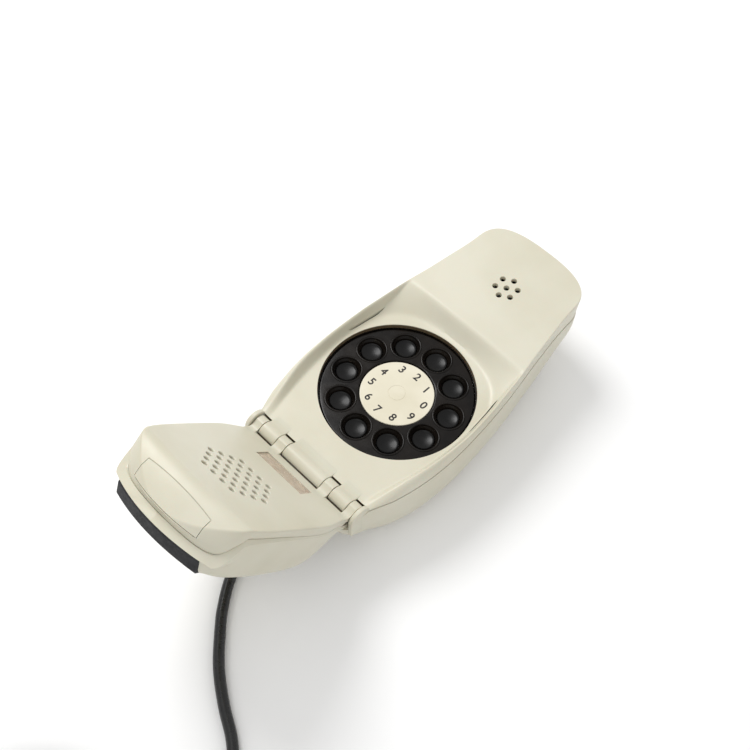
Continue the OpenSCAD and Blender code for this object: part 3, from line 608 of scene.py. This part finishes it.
# ---- dial ----
HOLES = [at_dial(HOLE_CIRCLE, a) for a in HOLE_ANGLES]
disc = lathe([(3.06, 26), (34.35, 26), (34.4, 26.3), (34.4, 33.0), (34.2, 33.3), (33.8, 33.4), (17.5, 33.4),
              (17.15, 33.25), (17.1, 33.0), (17.1, 31.0), (3.06, 31.0)], 192)
wheel = object_of(mesh_of(*moved(disc, spot(0, DIAL_Y, 0))), "dial_wheel")
through = lathe([(0, 24), (7.35, 24), (7.35, 36), (0, 36)], 72)
cut(wheel, mesh_of(*together(*[moved(through, h) for h in HOLES])))
rim_profile = ([(7.4, 26), (7.4, 33.1)] + arc(6.85, 33.18, 0.55, 0, 180, 10)[1:]
               + [(6.0, 32.7), (5.5, 32.0), (5.14, 31.4), (5.1, 31.0), (5.1, 27.6), (1.75, 27.5), (1.75, 26)])
collar = lathe(rim_profile, 72)
hub = lathe([(3.06, 17), (4.5, 17), (4.5, 19.1), (5.5, 19.1), (5.5, 26.1), (3.06, 26.1)], 48)
add(wheel, mesh_of(*together(*[moved(collar, h) for h in HOLES])),
    mesh_of(*moved(hub, spot(0, DIAL_Y, 0))))
piece(smooth(wheel, 40), "dial", MATERIALS["dial_black"], "dial_black", "finger_wheel")

dish = [(0, 30.35)] + [(5.0 * k / 8, 30.35 + 0.85 * (k / 8) ** 2) for k in range(1, 8)]
button = lathe([(0, 25.95), (1.62, 25.95), (1.62, 29.7), (4.95, 29.7), (4.98, 31.2), (4.8, 31.4)]
               + [(r, z) for r, z in reversed(dish)], 56)
for digit, h in zip(DIGITS, HOLES):
    key = object_of(mesh_of(*moved(button, h)), "dial_button_" + digit)
    node = "plunger_" + digit
    piece(smooth(key, 40), node + "_body", MATERIALS["plunger_black"], "plunger_black", node)

plate = object_of(mesh_of(*moved(lathe(
    [(0, 31.6), (16.65, 31.6), (16.7, 31.8), (16.7, 32.55), (16.55, 32.8), (16.2, 32.88), (4.15, 32.88),
     (4.0, 32.74), (3.7, 32.74), (3.55, 32.88), (0, 32.9)], 128), spot(0, DIAL_Y, 0))), "dial_plate")
piece(smooth(plate, 25), "body", MATERIALS["plate_ivory"], "plate_ivory", "number_plate")

DIGIT_SPOTS = [(7.8, 10.7), (0.4, 12.7), (-7.1, 10.7), (-12, 4), (-12, -3.7), (-7.4, -10.4), (-0.1, -12.1),
               (7.5, -10.3), (12.7, -4.2), (12.6, 4)]
DIGIT_SIZE, DIGIT_Z = 5.4, 32.885
digit_meshes = []
for digit, (x, y) in zip(DIGITS, DIGIT_SPOTS):
    text = bpy.data.curves.new("digit", "FONT")
    text.body = digit
    text.extrude = 0.001
    text.bevel_depth = 0.022
    text.bevel_resolution = 0
    text.align_x, text.align_y = "CENTER", "CENTER"
    ob = object_of(text, "digit")
    bpy.context.view_layer.update()
    me = bpy.data.meshes.new_from_object(ob.evaluated_get(bpy.context.evaluated_depsgraph_get()))
    bpy.data.objects.remove(ob)
    me.transform(Matrix.Diagonal((DIGIT_SIZE * MM, DIGIT_SIZE * MM, DIGIT_SIZE * MM * 0.2, 1)))
    low = [min(v.co[k] for v in me.vertices) for k in (0, 1)]
    high = [max(v.co[k] for v in me.vertices) for k in (0, 1)]
    middle = [(low[k] + high[k]) / 2 for k in (0, 1)]
    me.transform(Matrix.Translation((x * MM - middle[0], (DIAL_Y + y) * MM - middle[1], DIGIT_Z * MM)))
    digit_meshes.append(me)
digits = object_of(one_mesh(*digit_meshes), "dial_digits")
piece(digits, "body", INK, "dial_black")


# ---- flap, in its own frame ----
FACE_B = 2.25
FRONT_REACH, FRONT_BOW = 91.3, 0.011
BACK_REACH, BACK_BOW = 91.0, 0.0098
GROOVE_REACH = 89.2
COVER_HALF, COVER_F, COVER_B = 17.3, 86.0, 15.4
MIC_F, MIC_PITCH = 52.4, 5.14
LABEL_W, LABEL_H, LABEL_F = 26.8, 9.9, 16.4


def soft_min(a, b, k):
    return (a + b - math.sqrt((a - b) ** 2 + k * k)) / 2


def flap_w(f, reach, bow, inset=0.0):
    """Half width of the flap's outline at reach f."""
    ahead = max(reach - f, 0.0) / bow
    return max(soft_min(curve(f, FLAP_SIDE) - inset, math.sqrt(ahead), 3.0) if ahead > 0 else 0.15, 0.15)


FACET = [(60, FACE_B), (79, FACE_B), (81.4, 2.35), (83.6, 3.4), (86, 6.0), (88.8, 10.7), (91.3, 15.6)]
BACK_TIP = [(60, 31.3), (70, 30.7), (80, 29.8), (84, 29.2), (86.4, 28.3), (87.4, 27.3), (91, 21.9)]


def facet_b(x, f):
    """Depth of the face, which turns down towards the tip."""
    return curve(f + 0.0028 * x * x * clamp01((f - 60) / 16), FACET)


def back_b(x, f):
    """Depth of the back, whose tip follows the bow of the rubber bar."""
    along = clamp01((f - 66) / 12)
    corner = 0.16 * max(abs(x) - 21.5, 0) ** 2
    bowed = f + (BACK_BOW * x * x + corner) * along
    return (1 - along) * curve(f, FLAP_BACK) + along * curve(bowed, BACK_TIP)


def seam_b(f):
    return curve(f, FLAP_SEAM)


def groove_w(f, w, bow):
    """Half width at the bottom of the groove between face and back, where the outline is w wide."""
    inner = flap_w(f, GROOVE_REACH, bow, 1.0) if f > 60 else w - 0.35 - 0.65 * clamp01((f - 40) / 20)
    return min(inner, w - 0.05)


def flap_stations(first, reach):
    out = [first + 1.5 * k for k in range(int((76 - first) / 1.5) + 1)]
    out += [77 + 0.5 * k for k in range(int((reach - 78) / 0.5) + 1)]
    near = out[-1]
    return out + [near + (reach - 0.02 - near) * math.sin(math.radians(15 * k)) for k in range(1, 7)]


def face_ring(f):
    w = flap_w(f, FRONT_REACH, FRONT_BOW)
    e = min(1.0, w / 4)
    bottom = seam_b(f) if f < GROOVE_REACH else 17.85 - (f - GROOVE_REACH) * 1.02
    base = facet_b(w - e, f)
    bottom = max(bottom - 0.1, base + 0.25)
    w_in = groove_w(f, w, FRONT_BOW)
    edge = min(base + 1.0, bottom - 0.1)
    half = [(w_in, bottom), (w - 0.05, min(edge + 0.55 * (bottom - edge), bottom - 0.05)), (w, edge)]
    half += bezier([(w, edge), (w, base + 0.25 * (edge - base)), (w - 0.3 * e, base), (w - e, base)], 6, 1)
    half += [((w - e) * (1 - k / 16), facet_b((w - e) * (1 - k / 16), f)) for k in range(1, 17)]
    return [(x, f, b) for x, b in half] + [(-x, f, b) for x, b in reversed(half[:-1])]


def face_cavity(f):
    w = flap_w(f, FRONT_REACH - 3.2, FRONT_BOW, WALL + 0.6)
    xs = [w * (1 - k / 8) for k in range(17)]
    return [(w, f, 40)] + [(x, f, facet_b(x, f + 1.8) + WALL) for x in xs] + [(-w, f, 40)]


def back_ring(f, steps=56):
    w = flap_w(f, BACK_REACH, BACK_BOW)
    tip = clamp01((curve(f, FLAP_SIDE) - w) / 2.5)
    top = min(seam_b(f) if f < GROOVE_REACH else 17.85 + (f - GROOVE_REACH) * 2.2, 21.7) + 0.06
    w_in = groove_w(f, w, BACK_BOW)
    rim = (1 - tip) * (top + 0.55) + tip * max(21.7, top + 0.1)
    out = [(w_in, f, top), (w - 0.12, f, rim - 0.12)]
    for i in range(steps + 1):
        a = math.pi * i / steps
        cx, cz = math.cos(a), max(math.sin(a), 0)
        k = (abs(cx) ** 5 + cz**5) ** (-1 / 5)
        x = w * cx * k
        out.append((x, f, rim + (max(back_b(x, f), rim + 0.02) - rim) * cz * k))
    return out + [(-x, f, b) for x, f, b in reversed(out[:2])]


def back_cavity(f):
    w = flap_w(f, BACK_REACH - WALL, BACK_BOW, WALL)
    b = curve(min(f + WALL, 90.6), FLAP_BACK) - WALL
    depth = max(b - 3, 0.4)
    out = []
    for i in range(41):
        a = math.pi * i / 40
        cx, cz = math.cos(a), max(math.sin(a), 0)
        k = (abs(cx) ** 5 + cz**5) ** (-1 / 5)
        out.append((w * cx * k, f, 3 + depth * cz * k))
    return out


def in_flap(shape):
    return moved(shape, FLAP)


def zone(grow):
    """Where the tip cover is, grown all round by the gap."""
    low, high = (-COVER_HALF - grow, COVER_F - grow, -3), (COVER_HALF + grow, 106, COVER_B + grow)
    return mesh_of(*in_flap(block(low, high)))


def face_solid(name):
    ob = object_of(mesh_of(*in_flap(loft([face_ring(f) for f in flap_stations(4.8, FRONT_REACH)]))), name)
    return cut(ob, mesh_of(*in_flap(loft([face_cavity(f) for f in flap_stations(6, FRONT_REACH - 3.3)]))))


flap_foot = (arc(0, 0, BARREL_R, -32, -290, 32)
             + [(6, 4.2), (9.4, 4.2), (9.4, FACE_B - 0.02)]
             + bezier([(9.4, FACE_B - 0.02), (5.2, FACE_B + 0.05), (4.0, 2.6), (3.4, -2.1)], 8, 1))
flap_face = face_solid("flap_face")
cut(flap_face, zone(0.12))
mics = [((k - (6 - abs(row)) / 2) * MIC_PITCH, MIC_F + row * MIC_PITCH * math.sin(math.radians(60)))
        for row in range(-3, 4) for k in range(7 - abs(row))]
mic = lathe([(0, 0), (1.62, 0), (1.62, FACE_B - 0.02), (1.38, FACE_B + 0.3), (1.35, 8), (0, 8)], 28)
cut(flap_face, mesh_of(*together(*[in_flap(moved(mic, spot(x, f, 0))) for x, f in mics])), crossing=True)
recess = block((-LABEL_W / 2, LABEL_F - LABEL_H / 2, 0), (LABEL_W / 2, LABEL_F + LABEL_H / 2, FACE_B + 1.1))
cut(flap_face, bevelled(in_flap(recess), 0.35, 3))
add(flap_face, *[knuckle(in_flap(prism(flap_foot, a, b))) for a, b in FLAP_KNUCKLES])
cut(flap_face, hinge_bore())
piece(smooth(flap_face), "flap", IVORY, "ivory", "flap_front")

flap_cover = face_solid("flap_cover")
cut(flap_cover, zone(-0.12), operation="INTERSECT")
piece(smooth(flap_cover), "flap", IVORY, "ivory", "tip_cover")

BAR_HALF = 22.5


def bar_rings(grow, count=36):
    """Sections of the rubber bar from one end to the other; grow widens it all round for its recess."""
    out = []
    for k in range(-count, count + 1):
        x = k * (BAR_HALF + grow) / count
        top, low = 91 - 0.0097 * x * x, 86.9 - 0.0088 * x * x
        out.append([(x, f, b) for f, b in ((top - 4, 21.9 - grow), (low - 3, 28.1 + grow), (low, 28.1 + grow),
                                           (low + 0.5, 27.6), (top + 0.02, 22.5), (top, 21.9 - grow))])
    return out


BACK_START = -4.3
back_skin = [back_ring(f) for f in flap_stations(BACK_START, BACK_REACH)]
back_inside = [back_cavity(f) for f in flap_stations(BACK_START + WALL, BACK_REACH - WALL - 0.1)]
flap_back = object_of(mesh_of(*in_flap(loft(back_skin))), "flap_shell")
cut(flap_back, mesh_of(*in_flap(loft(back_inside))))
cut(flap_back, mesh_of(*in_flap(loft(bar_rings(0.12)))))
SCREWS = [(-24, 32), (24, 32), (-23, 72), (23, 72)]


def at_screws(shape):
    return mesh_of(*together(*[in_flap(moved(shape, spot(x, f, 0))) for x, f in SCREWS]))


cut(flap_back, at_screws(cylinder(2.7, 18.5, 40, 32)))
sleeve = lathe([(1.6, 15.4), (3.4, 15.4), (3.4, 27.0), (2.7, 27.0), (2.7, 18.5), (1.6, 18.5)], 32)
add(flap_back, at_screws(sleeve))
piece(smooth(flap_back), "flap", IVORY, "ivory", "flap_back")

bar = object_of(bevelled(in_flap(loft(bar_rings(0.0))), 0.15, 2), "rubber_bar")
piece(smooth(bar), "flap", MATERIALS["rubber"], "rubber", "foot_bar")

# ---- cord fittings ----
boot = [(2.8, -6.5), (5.8, -6.5), (5.8, -5.0), (4.6, -5.0), (4.6, 2.0)]
RIBS, RIB_PITCH = 7, 2.6
for k in range(RIBS):
    z = RIB_PITCH * (k + 1)
    r = 4.6 - 1.4 * (z - 2) / 20
    boot += [(r - 0.65, z), (r - 0.65, z + 0.8), (r - 0.1, z + 1.0), (r - 0.1, z + 2.2)]
boot += [(3.2, 21.6), (2.9, 22.0), (2.8, 22.0)]
relief = object_of(mesh_of(*moved(lathe(boot, 48), EXIT)), "strain_boot")
piece(smooth(relief), "body", MATERIALS["cord_black"], "cord_black", "strain_relief")

line_cord.data.materials.append(MATERIALS["cord_black"])
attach(line_cord, "body")
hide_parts("cord", "cord_coil")

# ---- floor and light ----
FLOOR_HALF, FLOOR_DROP = 3000, -0.05
floor_corners = [(x * FLOOR_HALF, y * FLOOR_HALF, FLOOR_DROP)
                 for x, y in ((-1, -1), (1, -1), (1, 1), (-1, 1))]
floor = object_of(mesh_of(floor_corners, [(0, 1, 2, 3)]), "floor")
floor.data.materials.append(material("pale_floor", (252, 252, 252), (249, 249, 249), 3, rough=(0.75, 0.85)))


def area_light(name, place, aim, size, power):
    light = bpy.data.lights.new(name, "AREA")
    light.shape = "DISK"
    light.size, light.energy = size, power
    ob = object_of(light, name)
    ob.location = place
    ob.rotation_euler = (Vector(aim) - Vector(place)).to_track_quat("-Z", "Y").to_euler()


area_light("key", (-0.55, 0.1, 0.8), (0, 0.02, 0.03), 0.45, 5.0)
area_light("fill", (0.3, -0.9, 0.9), (0, 0.02, 0.03), 1.2, 1.6)
world = bpy.data.worlds.new("studio")
world.use_nodes = True
world.node_tree.nodes["Background"].inputs["Color"].default_value = (1, 1, 1, 1)
world.node_tree.nodes["Background"].inputs["Strength"].default_value = 0.72
bpy.context.scene.world = world
bpy.context.scene.view_settings.view_transform = "Standard"
